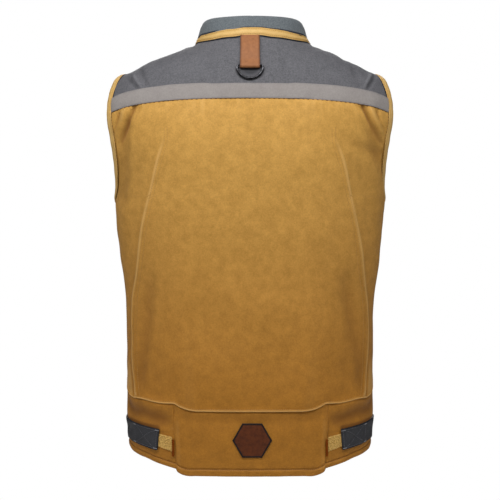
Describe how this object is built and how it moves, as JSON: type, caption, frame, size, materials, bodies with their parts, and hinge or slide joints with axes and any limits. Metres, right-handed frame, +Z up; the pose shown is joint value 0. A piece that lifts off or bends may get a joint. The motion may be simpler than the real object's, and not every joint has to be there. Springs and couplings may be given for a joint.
{
  "type": "sleeveless field vest in its hollow worn form",
  "caption": "Hollow sleeveless field vest: tan canvas, dark yoke, pale band, stand collar, bound armholes, zip front, side tabs, plain leather badge, hang loop with a ring.",
  "frame": {"origin": "middle of the neck opening, level with the top of the shoulder seams, where the wearer holds the vest up", "axes": "+Z up, the back faces -Y, the zip faces +Y, +X is towards the wearer's right side"},
  "size_m": [0.465, 0.2632, 0.7391],
  "materials": {
    "canvas": "matt woven cotton canvas",
    "tail_canvas": "matt woven cotton canvas, darker",
    "yoke_cloth": "matt dense cloth",
    "reflective_tape": "fine retroreflective coating on cloth",
    "collar_cloth": "soft matt pile cloth",
    "binding_tape": "smooth woven tape",
    "webbing": "matt woven webbing",
    "loop_pile": "fuzzy loop pile",
    "badge_leather": "waxed dark leather",
    "loop_leather": "oiled mid brown leather",
    "dark_metal": "dark plated, satin",
    "zip_cloth": "matt zip tape"
  },
  "bodies": {
    "vest": {"armhole_binding_left": "binding_tape", "armhole_binding_right": "binding_tape", "back_panel": "canvas", "back_yoke": "yoke_cloth", "badge": "badge_leather", "collar": "collar_cloth", "front_left": "canvas", "front_right": "canvas", "hang_loop": "loop_leather", "hem_side_left": "canvas", "hem_side_right": "canvas", "loop_patch_left": "loop_pile", "loop_patch_right": "loop_pile", "neck_tape": "binding_tape", "reflective_band": "reflective_tape", "side_tab_left": "webbing", "side_tab_right": "webbing", "tail_panel": "tail_canvas", "zip_slider": "dark_metal", "zip_tape_left": "zip_cloth", "zip_tape_right": "zip_cloth"},
    "ring": {"d_ring": "dark_metal"},
    "pull": {"zip_pull": "dark_metal"}
  },
  "joints": [
    {"name": "ring_swing", "type": "hinge", "parent": "vest", "child": "ring", "pos_m": [0, -0.11655, -0.04717], "axis": [-1, 0, 0], "range_deg": [0, 165]},
    {"name": "pull_swing", "type": "hinge", "parent": "vest", "child": "pull", "pos_m": [0, 0.08006, -0.03684], "axis": [1, 0, 0], "range_deg": [0, 165]}
  ]
}
